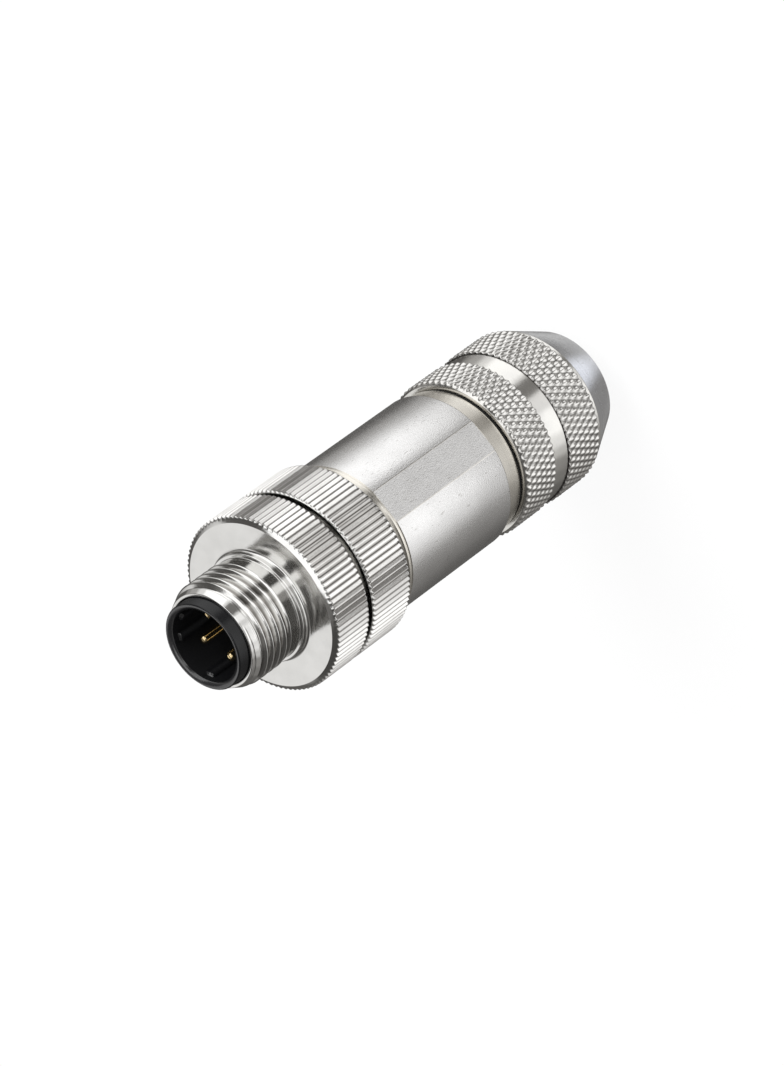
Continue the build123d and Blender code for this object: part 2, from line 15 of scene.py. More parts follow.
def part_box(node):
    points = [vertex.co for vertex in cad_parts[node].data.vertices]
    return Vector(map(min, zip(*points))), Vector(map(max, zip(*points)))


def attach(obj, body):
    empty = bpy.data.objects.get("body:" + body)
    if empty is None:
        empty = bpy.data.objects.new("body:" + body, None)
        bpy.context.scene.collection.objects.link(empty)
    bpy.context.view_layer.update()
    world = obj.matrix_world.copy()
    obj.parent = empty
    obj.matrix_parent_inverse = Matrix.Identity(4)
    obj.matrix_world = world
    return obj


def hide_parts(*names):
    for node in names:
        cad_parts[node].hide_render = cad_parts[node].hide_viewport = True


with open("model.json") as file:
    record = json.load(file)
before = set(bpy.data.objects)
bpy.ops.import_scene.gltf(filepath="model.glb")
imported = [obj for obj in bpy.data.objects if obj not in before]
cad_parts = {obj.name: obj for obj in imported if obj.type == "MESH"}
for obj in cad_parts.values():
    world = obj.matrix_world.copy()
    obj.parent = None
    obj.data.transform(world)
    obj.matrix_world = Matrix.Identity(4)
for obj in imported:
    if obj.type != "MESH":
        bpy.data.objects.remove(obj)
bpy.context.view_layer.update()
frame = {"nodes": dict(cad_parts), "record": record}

LOG = logging.getLogger("connector")

# Every size below is in millimetres, and meshes are in metres
MM = 0.001

# Room on each side of a limit that sorts points, so that none lies on the limit
NEAR = 0.01

# Steps of a rounded edge, and the greatest share that it takes of the run on each side of it
ARC_STEPS = 4
ARC_SHARE = 0.45

QUARTER_TURN = 0.25
WHITE = (1.0, 1.0, 1.0, 1.0)

Mesh = bpy.types.Mesh
Piece = bpy.types.Object
Socket = bpy.types.NodeSocket
Value = float | tuple[float, ...] | Socket
Triple = tuple[float, float, float]
Colour = Triple
Span = tuple[float, float]
Strips = tuple[Span, ...]


class Lay(Enum):
    """How the tool marks of a metal surface run."""

    ROUND = "round the axis"
    EVEN = "the same in all directions"


class Graph:
    """A node tree that is filled by calls, each of which adds nodes and links what goes into them."""

    def __init__(self, tree: bpy.types.NodeTree) -> None:
        """Take an empty node tree."""
        self.tree = tree

    def node(self, kind: str, values: dict[str | int, Value] | None = None,
             **settings: object) -> bpy.types.Node:
        """Add a node.

        Args:
            kind: The node's type.
            values: What each input gets, by name or place: a number, a colour or another node's output.
            **settings: The node's own settings.

        Returns:
            The node.
        """
        node = self.tree.nodes.new(kind)
        for name, setting in settings.items():
            setattr(node, name, setting)
        for key, value in (values or {}).items():
            if isinstance(value, Socket):
                self.tree.links.new(value, node.inputs[key])
            else:
                node.inputs[key].default_value = value
        return node

    def result(self, kind: str, values: dict[str | int, Value] | None = None, **settings: object) -> Socket:
        """Add a node as node does and return its first output."""
        return self.node(kind, values, **settings).outputs[0]

    def maths(self, operation: str, *values: Value) -> Socket:
        """Add a sum on numbers and return its result."""
        return self.result("ShaderNodeMath", dict(enumerate(values)), operation=operation)

    def product(self, total: Value, *factors: Value) -> Socket:
        """Multiply numbers.

        Args:
            total: The first number.
            *factors: The others.

        Returns:
            Their product.
        """
        for factor in factors:
            total = self.maths("MULTIPLY", total, factor)
        return total

    def millimetres(self, place: Socket) -> Socket:
        """Return a place in millimetres that is given in metres."""
        factors = {0: place, 1: (1 / MM, 1 / MM, 1 / MM)}
        return self.result("ShaderNodeVectorMath", factors, operation="MULTIPLY")

    def split(self, vector: Socket) -> tuple[Socket, ...]:
        """Return the three numbers of a vector."""
        return tuple(self.node("ShaderNodeSeparateXYZ", {0: vector}).outputs)

    def joined(self, *numbers: Value) -> Socket:
        """Return the vector that two or three numbers make."""
        return self.result("ShaderNodeCombineXYZ", dict(enumerate(numbers)))

    def length(self, x: Socket, y: Socket) -> Socket:
        """Return the distance from the axis."""
        return self.maths("SQRT", self.maths("MULTIPLY_ADD", x, x, self.product(y, y)))

    def spread(self, value: Value, low: Value, high: Value, to_low: float = 0.0, to_high: float = 1.0,
               ease: str = "LINEAR") -> Socket:
        """Carry a value from one span to another, held at its ends.

        Args:
            value: The value.
            low: Start of its span.
            high: End of its span.
            to_low: Result at the start.
            to_high: Result at the end.
            ease: How it moves between them.

        Returns:
            The result.
        """
        spans = {0: value, 1: low, 2: high, 3: to_low, 4: to_high}
        return self.result("ShaderNodeMapRange", spans, interpolation_type=ease)

    def mottled(self, noise: Socket, low: float, high: float, reach: float = 0.15) -> Socket:
        """Carry a noise to a span, held where the noise is further from its middle than a reach."""
        return self.spread(noise, 0.5 - reach, 0.5 + reach, low, high)

    def blend(self, share: Value, low: Value, high: Value) -> Socket:
        """Return a mix of two colours."""
        return self.node("ShaderNodeMix", {0: share, 6: low, 7: high}, data_type="RGBA").outputs[2]

    def noise(self, place: Socket, scale: float, detail: float = 2.0) -> Socket:
        """Return a noise from 0 to 1 over a place."""
        return self.result("ShaderNodeTexNoise", {"Vector": place, "Scale": scale, "Detail": detail})

    def bump(self, height: Socket) -> Socket:
        """Return the normal that a height in millimetres gives."""
        return self.result("ShaderNodeBump", {"Strength": 1.0, "Distance": MM, "Height": height})


def empty_graph(owner: bpy.types.Material | bpy.types.World) -> Graph:
    """Clear the nodes of a material or the world.

    Args:
        owner: The material or the world.

    Returns:
        Its node tree.
    """
    owner.use_nodes = True
    owner.node_tree.nodes.clear()
    return Graph(owner.node_tree)


def opaque(colour: Colour) -> tuple[float, float, float, float]:
    """Return a colour with its fourth number."""
    return (*colour, 1.0)


@dataclass(frozen=True)
class Finish:
    """What every surface finish has: a name, two tints that it wanders between, a roughness and a grain."""

    name: str
    tint: Colour
    second_tint: Colour
    roughness: float
    rough_patches: float
    grain: float = 0.2
    grain_depth: float = 0.002
    cloud: float = 3.0
    cloud_detail: float = 3.0

    def material(self) -> bpy.types.Material:
        """Make the finish's material, unless it was made before.

        Returns:
            The material.
        """
        known = bpy.data.materials.get(self.name)
        if known:
            return known
        material = bpy.data.materials.new(self.name)
        graph = empty_graph(material)
        place = graph.millimetres(graph.node("ShaderNodeTexCoord").outputs["Object"])
        graph.node("ShaderNodeOutputMaterial", {"Surface": self.surface(graph, place)})
        return material

    def surface(self, graph: Graph, place: Socket) -> Socket:
        """Build the shader.

        Args:
            graph: The material's nodes.
            place: The point on the piece, in millimetres.

        Returns:
            The shader.
        """
        raise NotImplementedError

    def tinted(self, graph: Graph, place: Socket) -> Socket:
        """Return the tint at a point."""
        cloud = graph.mottled(graph.noise(place, 1 / self.cloud, self.cloud_detail), 0.0, 1.0)
        return graph.blend(cloud, opaque(self.tint), opaque(self.second_tint))


@dataclass(frozen=True)
class Plating(Finish):
    """Nickel, gold or bare steel, with tool marks, grain and fine scratches."""

    lay: Lay = Lay.ROUND
    line_width: float = 0.05
    line_depth: float = 0.0015
    anisotropy: float = 0.0
    scratches: float = 0.0
    scratch_shade: Colour = (0.30, 0.28, 0.26)
    scratch_depth: float = 0.004
    scratch_scale: float = 1.3
    scratch_lie: Triple = (0.5, 0.35, 0.9)
    scratch_stretch: Triple = (5.0, 0.45, 0.9)
    scratch_span: Span = (0.70, 0.74)

    def surface(self, graph: Graph, place: Socket) -> Socket:
        """Build the metal's shader.

        Args:
            graph: The material's nodes.
            place: The point on the piece, in millimetres.

        Returns:
            The shader.
        """
        x, y, z = graph.split(place)
        grain = graph.noise(place, 1 / self.grain)
        height = graph.product(grain, self.grain_depth)
        worn = grain
        if self.lay is Lay.ROUND:
            lines = graph.noise(graph.joined(graph.length(x, y), z), 1 / self.line_width, 1.0)
            height = graph.maths("MULTIPLY_ADD", lines, self.line_depth, height)
            worn = graph.product(graph.maths("ADD", lines, grain), 0.5)
        tint = self.tinted(graph, place)
        if self.scratches:
            scratch = self.scratch(graph, place)
            tint = graph.blend(graph.product(scratch, self.scratches), tint, opaque(self.scratch_shade))
            height = graph.maths("MULTIPLY_ADD", scratch, -self.scratch_depth, height)
        patches = self.rough_patches
        roughness = graph.mottled(worn, self.roughness - patches, self.roughness + patches)
        values = {"Base Color": tint, "Metallic": 1.0, "Roughness": roughness, "Normal": graph.bump(height)}
        if self.anisotropy:
            values["Anisotropic"] = self.anisotropy
            values["Anisotropic Rotation"] = QUARTER_TURN
            values["Tangent"] = graph.result("ShaderNodeTangent", direction_type="RADIAL", axis="Z")
        return graph.result("ShaderNodeBsdfPrincipled", values)

    def scratch(self, graph: Graph, place: Socket) -> Socket:
        """Lay sparse fine scratches.

        Args:
            graph: The material's nodes.
            place: The point on the piece, in millimetres.

        Returns:
            1 along a scratch and 0 beside it.
        """
        turned = {"Vector": place, "Rotation": self.scratch_lie, "Scale": self.scratch_stretch}
        stretched = graph.result("ShaderNodeMapping", turned)
        return graph.spread(graph.noise(stretched, self.scratch_scale, 1.0), *self.scratch_span)


@dataclass(frozen=True)
class KnurledPlating(Plating):
    """Plating on a knurl or a thread, with painted shade that darkens its tint towards the floor of each
    groove.
    """

    crest_radius: float = 10.0
    groove_depth: float = 0.27
    # painted shade: the colour that the tint darkens to at a groove's floor
    painted_groove_shade: Colour = (0.10, 0.09, 0.08)
    shade_share: float = 0.36

    def tinted(self, graph: Graph, place: Socket) -> Socket:
        """Darken the tint towards the floor of a groove, as painted shade.

        Args:
            graph: The material's nodes.
            place: The point on the piece, in millimetres.

        Returns:
            The tint there.
        """
        x, y, _ = graph.split(place)
        floor = self.crest_radius - self.groove_depth
        rise = graph.spread(graph.length(x, y), floor, floor + self.shade_share * self.groove_depth)
        return graph.blend(rise, opaque(self.painted_groove_shade), super().tinted(graph, place))


@dataclass(frozen=True)
class Moulding(Finish):
    """Moulded plastic or rubber with a fine texture."""

    specular: float = 0.5
    grain_reach: float = 0.2

    def surface(self, graph: Graph, place: Socket) -> Socket:
        """Build the plastic's shader.

        Args:
            graph: The material's nodes.
            place: The point on the piece, in millimetres.

        Returns:
            The shader.
        """
        grain = graph.noise(place, 1 / self.grain)
        patches = self.rough_patches
        roughness = graph.mottled(grain, self.roughness - patches, self.roughness + patches, self.grain_reach)
        values = {"Base Color": self.tinted(graph, place), "Roughness": roughness,
                  "Normal": graph.bump(graph.product(grain, self.grain_depth)),
                  "Specular IOR Level": self.specular}
        return graph.result("ShaderNodeBsdfPrincipled", values)


BRIGHT_NICKEL = Plating("bright_nickel", (0.74, 0.735, 0.72), (0.68, 0.675, 0.66), 0.11, 0.04,
                        line_width=0.04, line_depth=0.0012, anisotropy=0.4)
# THREAD_NICKEL, KNURL_NICKEL and DIAMOND_NICKEL carry painted shade towards their groove floors
THREAD_NICKEL = KnurledPlating("thread_nickel", (0.74, 0.735, 0.72), (0.68, 0.675, 0.66), 0.11, 0.04,
                               line_width=0.04, line_depth=0.0012, anisotropy=0.4, crest_radius=6.0,
                               groove_depth=0.56, painted_groove_shade=(0.26, 0.245, 0.225), shade_share=0.6)
KNURL_NICKEL = KnurledPlating("knurl_nickel", (0.76, 0.75, 0.735), (0.69, 0.68, 0.665), 0.13, 0.05,
                              grain=0.09, grain_depth=0.007, lay=Lay.EVEN)
DIAMOND_NICKEL = KnurledPlating("diamond_nickel", (0.72, 0.71, 0.69), (0.65, 0.64, 0.62), 0.16, 0.05,
                                grain=0.10, grain_depth=0.004, lay=Lay.EVEN,
                                painted_groove_shade=(0.07, 0.065, 0.06), shade_share=0.45)
SATIN_NICKEL = Plating("satin_nickel", (0.75, 0.745, 0.74), (0.70, 0.695, 0.69), 0.26, 0.06,
                       grain=0.13, grain_depth=0.013, lay=Lay.EVEN, scratches=0.35)
POLISHED_NICKEL = Plating("polished_nickel", (0.76, 0.73, 0.67), (0.70, 0.67, 0.61), 0.25, 0.05,
                          line_width=0.06)
# painted shade: a darker tint on the narrow burnished strips makes the thin dark line along the flats'
# borders
BURNISHED_SHADED_NICKEL = Plating("burnished_nickel_painted_shade", (0.62, 0.60, 0.57), (0.54, 0.52, 0.49), 0.10, 0.03,
                           lay=Lay.EVEN)
TURNED_NICKEL = Plating("turned_nickel", (0.68, 0.69, 0.71), (0.61, 0.62, 0.64), 0.22, 0.06,
                        grain_depth=0.001, line_width=0.09, line_depth=0.004, anisotropy=0.6, scratches=0.3)
NUT_NICKEL = Plating("nut_nickel", (0.72, 0.71, 0.68), (0.66, 0.65, 0.63), 0.17, 0.05,
                     line_width=0.05, line_depth=0.002, anisotropy=0.35)
INNER_NICKEL = Plating("inner_nickel", (0.66, 0.64, 0.61), (0.60, 0.58, 0.55), 0.26, 0.05)
GOLD = Plating("contact_gold", (0.90, 0.72, 0.42), (0.85, 0.66, 0.36), 0.13, 0.03,
               grain_depth=0.001, lay=Lay.EVEN)
SPRING_STEEL = Plating("spring_steel", (0.58, 0.58, 0.59), (0.50, 0.50, 0.51), 0.30, 0.06)
SCREW_STEEL = Plating("screw_steel", (0.66, 0.66, 0.67), (0.58, 0.58, 0.60), 0.25, 0.05, line_width=0.03)
# painted shade: a darker, matt copy of the insert's plastic for the inside of the cup
CUP_MATT_SHADED = Moulding("cup_matt_painted_shade", (0.0022, 0.0023, 0.0028), (0.0016, 0.0017, 0.0020), 0.60, 0.05,
                    grain=0.10, specular=0.12)
INSERT_BLACK = Moulding("insert_black", (0.0030, 0.0033, 0.0042), (0.0020, 0.0022, 0.0028), 0.28, 0.05,
                        grain=0.12, grain_depth=0.004, specular=0.42)
# painted light: a lighter, glossier copy of the insert's plastic for the upward rib ends in the cup
RIB_END_LIT = Moulding("rib_end_painted_light", (0.012, 0.012, 0.013), (0.009, 0.009, 0.010), 0.20, 0.04, specular=1.0)
CAGE_GREY = Moulding("cage_grey", (0.055, 0.055, 0.060), (0.045, 0.045, 0.050), 0.45, 0.05)
LINER_NATURAL = Moulding("liner_natural", (0.74, 0.73, 0.69), (0.69, 0.68, 0.64), 0.40, 0.05)
SEAL_RUBBER = Moulding("seal_rubber", (0.018, 0.018, 0.019), (0.013, 0.013, 0.014), 0.55, 0.06,
                       specular=0.35)
CABLE_RUBBER = Moulding("cable_rubber", (0.040, 0.040, 0.042), (0.032, 0.032, 0.034), 0.60, 0.06,
                        specular=0.3)


@dataclass(frozen=True)
class Corner:
    """A corner of a turned piece's half section.

    rounding is the radius of its arc, and rows is how many more rows lie on the way to the next corner.
    """

    radius: float
    height: float
    rounding: float = 0.0
    rows: int = 0


@dataclass(frozen=True)
class Row:
    """A ring of points of a turned blank, and whether its edge stays sharp."""

    radius: float
    height: float
    sharp: bool


def rounded(before: Corner, corner: Corner, after: Corner) -> list[Row]:
    """Turn one corner into rows.

    Args:
        before: The corner before it.
        corner: The corner.
        after: The corner after it.

    Returns:
        One sharp row, or the rows of its arc.
    """
    if not corner.rounding:
        return [Row(corner.radius, corner.height, True)]
    point = Vector((corner.radius, corner.height))
    back = Vector((before.radius, before.height)) - point
    ahead = Vector((after.radius, after.height)) - point
    half = back.angle(ahead) / 2
    run = min(corner.rounding / tan(half), ARC_SHARE * back.length, ARC_SHARE * ahead.length)
    arc = run * tan(half)
    centre = point + (back.normalized() + ahead.normalized()).normalized() * (arc / sin(half))
    start = point + back.normalized() * run - centre
    end = point + ahead.normalized() * run - centre
    sweep = start.angle_signed(end)
    rows = []
    for step in range(ARC_STEPS + 1):
        spoke = start.copy()
        spoke.rotate(Matrix.Rotation(-sweep * step / ARC_STEPS, 2))
        rows.append(Row(centre.x + spoke.x, centre.y + spoke.y, False))
    return rows


def steps(*runs: Triple) -> list[Corner]:
    """Return the sharp corners of runs along the axis, each given by its radius and its two heights."""
    return [Corner(radius, height) for radius, *ends in runs for height in ends]


def section_rows(corners: list[Corner]) -> list[Row]:
    """Work out the rows of a closed half section.

    Args:
        corners: Its corners, in order.

    Returns:
        Its rows in order, those of arcs and the added ones included.
    """
    count = len(corners)
    arcs = [rounded(corners[place - 1], corner, corners[(place + 1) % count])
            for place, corner in enumerate(corners)]
    rows = []
    for place, corner in enumerate(corners):
        start = arcs[place][-1]
        end = arcs[(place + 1) % count][0]
        rows += arcs[place]
        for step in range(1, corner.rows + 1):
            share = step / (corner.rows + 1)
            radius = start.radius + share * (end.radius - start.radius)
            rows.append(Row(radius, start.height + share * (end.height - start.height), False))
    return rows


def turned_mesh(name: str, corners: list[Corner], turns: list[float],
                trim: Callable[[float, float, float], float] | None = None) -> Mesh:
    """Turn a closed half section about the axis.

    Args:
        name: The mesh's name.
        corners: The corners of the half section, in order.
        turns: The angle of each column of points, in radians.
        trim: The radius at a radius, turn and height, where flats cut the round form.

    Returns:
        A closed mesh in metres, smooth but for its sharp rows.
    """
    rows = section_rows(corners)
    form = bmesh.new()
    rings = []
    for row in rows:
        ring = []
        for turn in turns:
            radius = trim(row.radius, turn, row.height) if trim else row.radius
            ring.append(form.verts.new((radius * cos(turn) * MM, radius * sin(turn) * MM, row.height * MM)))
        rings.append(ring)
    columns = range(len(turns))
    for place, ring in enumerate(rings):
        following = rings[(place + 1) % len(rings)]
        for column in columns:
            beside = (column + 1) % len(turns)
            form.faces.new((ring[column], ring[beside], following[beside], following[column]))
    for row, ring in zip(rows, rings):
        for column in columns:
            form.edges.get((ring[column - 1], ring[column])).smooth = not row.sharp
    bmesh.ops.recalc_face_normals(form, faces=form.faces)
    for face in form.faces:
        face.smooth = True
    mesh = bpy.data.meshes.new(name)
    form.to_mesh(mesh)
    form.free()
    return mesh


def sharpen(mesh: Mesh, chosen: Callable[[bmesh.types.BMEdge], bool]) -> None:
    """Make some edges of a mesh sharp.

    Args:
        mesh: The mesh to change.
        chosen: Whether an edge becomes sharp.
    """
    form = bmesh.new()
    form.from_mesh(mesh)
    for edge in form.edges:
        if chosen(edge):
            edge.smooth = False
    form.to_mesh(mesh)
    form.free()


def dress(mesh: Mesh, finish: Finish, chosen: Callable[[Vector, Vector], bool]) -> None:
    """Give some faces of a mesh a finish of their own.

    Args:
        mesh: The mesh.
        finish: The finish.
        chosen: Whether a face with a middle, in millimetres, and a normal gets it.
    """
    mesh.materials.append(finish.material())
    for face in mesh.polygons:
        if chosen(face.center / MM, face.normal):
            face.material_index = len(mesh.materials) - 1


class Relief(Graph):
    """A Geometry Nodes tree that cuts a pattern into the outer wall of a turned blank.

    Its sizes are inputs with names, in millimetres. It ends by giving the piece its material.
    """

    title = "relief"
    sizes: tuple[str, ...] = ()

    def __init__(self) -> None:
        """Build the tree."""
        super().__init__(bpy.data.node_groups.new(self.title, "GeometryNodeTree"))
        faces = self.tree.interface
        faces.new_socket("Blank", in_out="INPUT", socket_type="NodeSocketGeometry")
        for size in ("Low", "High", "Inner Limit", *self.sizes):
            faces.new_socket(size, in_out="INPUT", socket_type="NodeSocketFloat")
        faces.new_socket("Material", in_out="INPUT", socket_type="NodeSocketMaterial")
        faces.new_socket("Piece", in_out="OUTPUT", socket_type="NodeSocketGeometry")
        self.given = self.node("NodeGroupInput").outputs
        place = self.millimetres(self.result("GeometryNodeInputPosition"))
        x, y, self.height = self.split(place)
        self.radius = self.length(x, y)
        self.turn = self.maths("DIVIDE", self.maths("ARCTAN2", y, x), 2 * pi)
        share = self.maths("DIVIDE", self.maths("MINIMUM", self.radius, self.wall()), self.radius)
        moved = self.joined(self.product(x, share, MM), self.product(y, share, MM),
                            self.product(self.height, MM))
        chosen = self.product(
            self.maths("GREATER_THAN", self.height, self.given["Low"]),
            self.maths("LESS_THAN", self.height, self.given["High"]),
            self.maths("GREATER_THAN", self.radius, self.given["Inner Limit"]))
        placed = {"Geometry": self.given["Blank"], "Position": moved, "Selection": chosen}
        carved = self.result("GeometryNodeSetPosition", placed)
        realised = self.result("GeometryNodeRealizeInstances", {0: carved})
        finished = {"Geometry": realised, "Material": self.given["Material"]}
        self.node("NodeGroupOutput", {0: self.result("GeometryNodeSetMaterial", finished)})

    def wall(self) -> Socket:
        """Return the greatest radius that the pattern leaves at a point."""
        raise NotImplementedError

    def triangle(self, value: Value) -> Socket:
        """Return a wave of the value that is 0 at whole numbers and 1 halfway between them."""
        off = self.maths("ABSOLUTE", self.maths("SUBTRACT", self.maths("FRACT", value), 0.5))
        return self.maths("SUBTRACT", 1.0, self.product(off, 2.0))

    def carve(self, mesh: Mesh, finish: Finish, low: float, high: float, limit: float,
              **sizes: float) -> Mesh:
        """Run the tree on a blank.

        Args:
            mesh: The blank, which is used up.
            finish: The finish of the whole piece.
            low: Height where the pattern starts.
            high: Height where it ends.
            limit: Points nearer to the axis than this stay.
            **sizes: The pattern's own sizes, named as its inputs with _ for a space.

        Returns:
            The carved mesh.
        """
        blank = bpy.data.objects.new("blank", mesh)
        bpy.context.scene.collection.objects.link(blank)
        modifier = blank.modifiers.new("relief", "NODES")
        modifier.node_group = self.tree
        values = {"Low": low, "High": high, "Inner Limit": limit, "Material": finish.material()}
        values |= {name.replace("_", " "): size for name, size in sizes.items()}
        for item in self.tree.interface.items_tree:
            if item.name in values:
                modifier[item.identifier] = values[item.name]
        finished = blank.evaluated_get(bpy.context.evaluated_depsgraph_get())
        carved = bpy.data.meshes.new_from_object(finished)
        carved.name = self.title
        bpy.data.objects.remove(blank)
        bpy.data.meshes.remove(mesh)
        return carved


class StraightKnurl(Relief):
    """V grooves along the axis, their sides at 45 degrees to the radius."""

    title = "straight_knurl"
    sizes = ("Teeth", "Depth", "Radius")

    def wall(self) -> Socket:
        """Slope the sides of the grooves.

        Returns:
            The radius of the nearer side.
        """
        across = self.maths("SUBTRACT", 1.0, self.triangle(self.product(self.turn, self.given["Teeth"])))
        half_pitch = self.maths("DIVIDE", self.product(self.given["Radius"], pi), self.given["Teeth"])
        floor = self.maths("SUBTRACT", self.given["Radius"], self.given["Depth"])
        return self.maths("MULTIPLY_ADD", across, half_pitch, floor)


class DiamondKnurl(Relief):
    """Crossed grooves that leave rounded diamonds, with the deepest pits where the grooves cross.

    flat_top is the share of a groove's rise at which a diamond has its full height.
    """

    title = "diamond_knurl"
    sizes = ("Starts", "Rise", "Depth", "Radius", "Pit")
    flat_top = 0.86

    def wall(self) -> Socket:
        """Raise the diamonds between the crossed grooves.

        Returns:
            The radius of the knurled surface.
        """
        round_share = self.product(self.turn, self.given["Starts"])
        rise_share = self.maths("DIVIDE", self.height, self.given["Rise"])
        one = self.triangle(self.maths("ADD", round_share, rise_share))
        other = self.triangle(self.maths("SUBTRACT", round_share, rise_share))
        lower = self.maths("MINIMUM", one, other)
        middle = self.product(self.maths("ADD", one, other), 0.5)
        above = self.maths("SUBTRACT", middle, lower)
        rise = self.maths("MULTIPLY_ADD", above, self.given["Pit"], lower)
        soft = self.spread(rise, 0.0, self.flat_top)
        sunk = self.product(self.maths("SUBTRACT", 1.0, soft), self.given["Depth"])
        return self.maths("SUBTRACT", self.given["Radius"], sunk)


class ScrewThread(Relief):
    """A right-hand thread that runs out below.

    flank holds where the flank starts and ends, as shares of the way from crest to root.
    """

    title = "screw_thread"
    sizes = ("Pitch", "Depth", "Radius", "Crest", "Run Out")
    flank = (0.14, 0.78)

    def wall(self) -> Socket:
        """Sink the thread between its crests, and less where it runs out.

        Returns:
            The radius of its flank.
        """
        above_crest = self.maths("SUBTRACT", self.height, self.given["Crest"])
        rise = self.maths("DIVIDE", above_crest, self.given["Pitch"])
        sunk = self.spread(self.triangle(self.maths("SUBTRACT", rise, self.turn)), *self.flank)
        start = self.given["Low"]
        grown = self.spread(self.height, start, self.maths("ADD", start, self.given["Run Out"]))
        depth = self.product(self.given["Depth"], grown)
        return self.maths("SUBTRACT", self.given["Radius"], self.product(sunk, depth))


@cache
def relief(kind: type[Relief]) -> Relief:
    """Return the one tree of a kind, built on its first use."""
    return kind()


@dataclass(frozen=True)
class Thread:
    """A right-hand thread outside a turned piece.

    wall is how deep below the crests a point may lie and still move, and overrun is how far the thread
    reaches past the end face that it starts at.
    """

    radius: float
    rows: int
    depth: float = 0.5
    pitch: float = 1.0
    run_out: float = 0.2
    wall: float = 0.8
    overrun: float = 0.1
    finish: Finish = BRIGHT_NICKEL

    def cut(self, mesh: Mesh, low: float, high: float, crest: float) -> Mesh:
        """Cut the thread into a blank and give the whole piece its finish.

        Args:
            mesh: The blank, which is used up.
            low: Height where the thread starts to grow.
            high: Height where it ends.
            crest: Height of a crest on the +X side.

        Returns:
            The threaded mesh.
        """
        return relief(ScrewThread).carve(
            mesh, self.finish, low, high, self.radius - self.wall, Pitch=self.pitch, Depth=self.depth,
            Radius=self.radius, Crest=crest, Run_Out=self.run_out)

    def cut_from_end(self, mesh: Mesh, end: float, groove: float) -> Mesh:
        """Cut the thread from an end face to just short of a groove and return the mesh."""
        return self.cut(mesh, end - self.overrun, groove - self.overrun / 2, end)


@dataclass(frozen=True)
class KnurledRing:
    """The straight knurl that the coupling ring and the grip ring share."""

    radius: float = 10.0
    teeth: int = 96
    depth: float = 0.27
    front_chamfer: float = 0.68
    front_chamfer_length: float = 0.42
    back_chamfer: float = 0.25
    edge: float = 0.06
    rows: int = 3
    sharp_bend: float = 30.0

    def turns(self) -> list[float]:
        """Place the columns of a blank.

        Returns:
            The turns of both edges and the middle of each crest, and of each groove's floor.
        """
        half_crest = 0.5 - self.depth * self.teeth / (2 * pi * self.radius)
        shares = (-half_crest, 0.0, half_crest, 0.5)
        return [2 * pi * (tooth + share) / self.teeth for tooth in range(self.teeth) for share in shares]

    def outline(self, back: float, front: float) -> list[Corner]:
        """Draw the ring's outer wall.

        Args:
            back: Height of the ring's back face.
            front: Height of its front face.

        Returns:
            Its corners, from the front face down to the back face.
        """
        return [
            Corner(self.radius - self.front_chamfer, front, self.edge, self.rows),
            Corner(self.radius, front - self.front_chamfer_length, self.edge, self.rows),
            Corner(self.radius, back + self.back_chamfer, self.edge, self.rows),
            Corner(self.radius - self.back_chamfer, back, self.edge),
        ]

    def cut(self, mesh: Mesh, back: float, front: float) -> Mesh:
        """Cut the grooves into a blank, whose finish is bright nickel.

        Args:
            mesh: The blank, which is used up.
            back: Height of the ring's back face.
            front: Height of its front face.

        Returns:
            The knurled mesh, with the knurl's own finish, which paints shade into the grooves, on the ring's
            wall.
        """
        limit = self.radius - 2 * self.depth
        carved = relief(StraightKnurl).carve(
            mesh, BRIGHT_NICKEL, back - self.edge, front + self.edge, limit, Teeth=self.teeth,
            Depth=self.depth, Radius=self.radius)

        def bent(edge: bmesh.types.BMEdge) -> bool:
            """Look at how much an edge bends.

            Args:
                edge: The edge.

            Returns:
                Whether it lies on the ring and bends sharply.
            """
            ends = [vertex.co.z / MM for vertex in edge.verts]
            bend = edge.calc_face_angle(0.0)
            return back <= min(ends) and max(ends) <= front and bend > radians(self.sharp_bend)

        sharpen(carved, bent)
        # painted shade: the ring's wall darkens towards each groove's floor
        dress(carved, KNURL_NICKEL, lambda middle, normal:
              back < middle.z < front - self.front_chamfer_length
              and middle.xy.length > self.radius - self.front_chamfer)
        return carved


@cache
def heights(node: str) -> tuple[float, float]:
    """Return the lowest and highest points of a node, in millimetres."""
    low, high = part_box(node)
    return low.z / MM, high.z / MM


@dataclass
class Component:
    """A piece that stands for a node of the frame: it lies where the node lies and rides on its body."""

    node: str

    @property
    def back(self) -> float:
        """Return the height of its end towards the cable."""
        return heights(self.node)[0]

    @property
    def tip(self) -> float:
        """Return the height of its end towards the mating side."""
        return heights(self.node)[1]

    def mesh(self) -> Mesh:
        """Return its finished mesh, with its materials."""
        raise NotImplementedError

    def build(self) -> Piece:
        """Put the finished mesh in place of the node.

        Returns:
            The new piece, riding on the node's body.
        """
        bodies = frame["record"]["behaviour"]["bodies"]
        piece = bpy.data.objects.new(f"{self.node}_form", self.mesh())
        bpy.context.scene.collection.objects.link(piece)
        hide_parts(self.node)
        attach(piece, next(body for body, nodes in bodies.items() if self.node in nodes))
        return piece


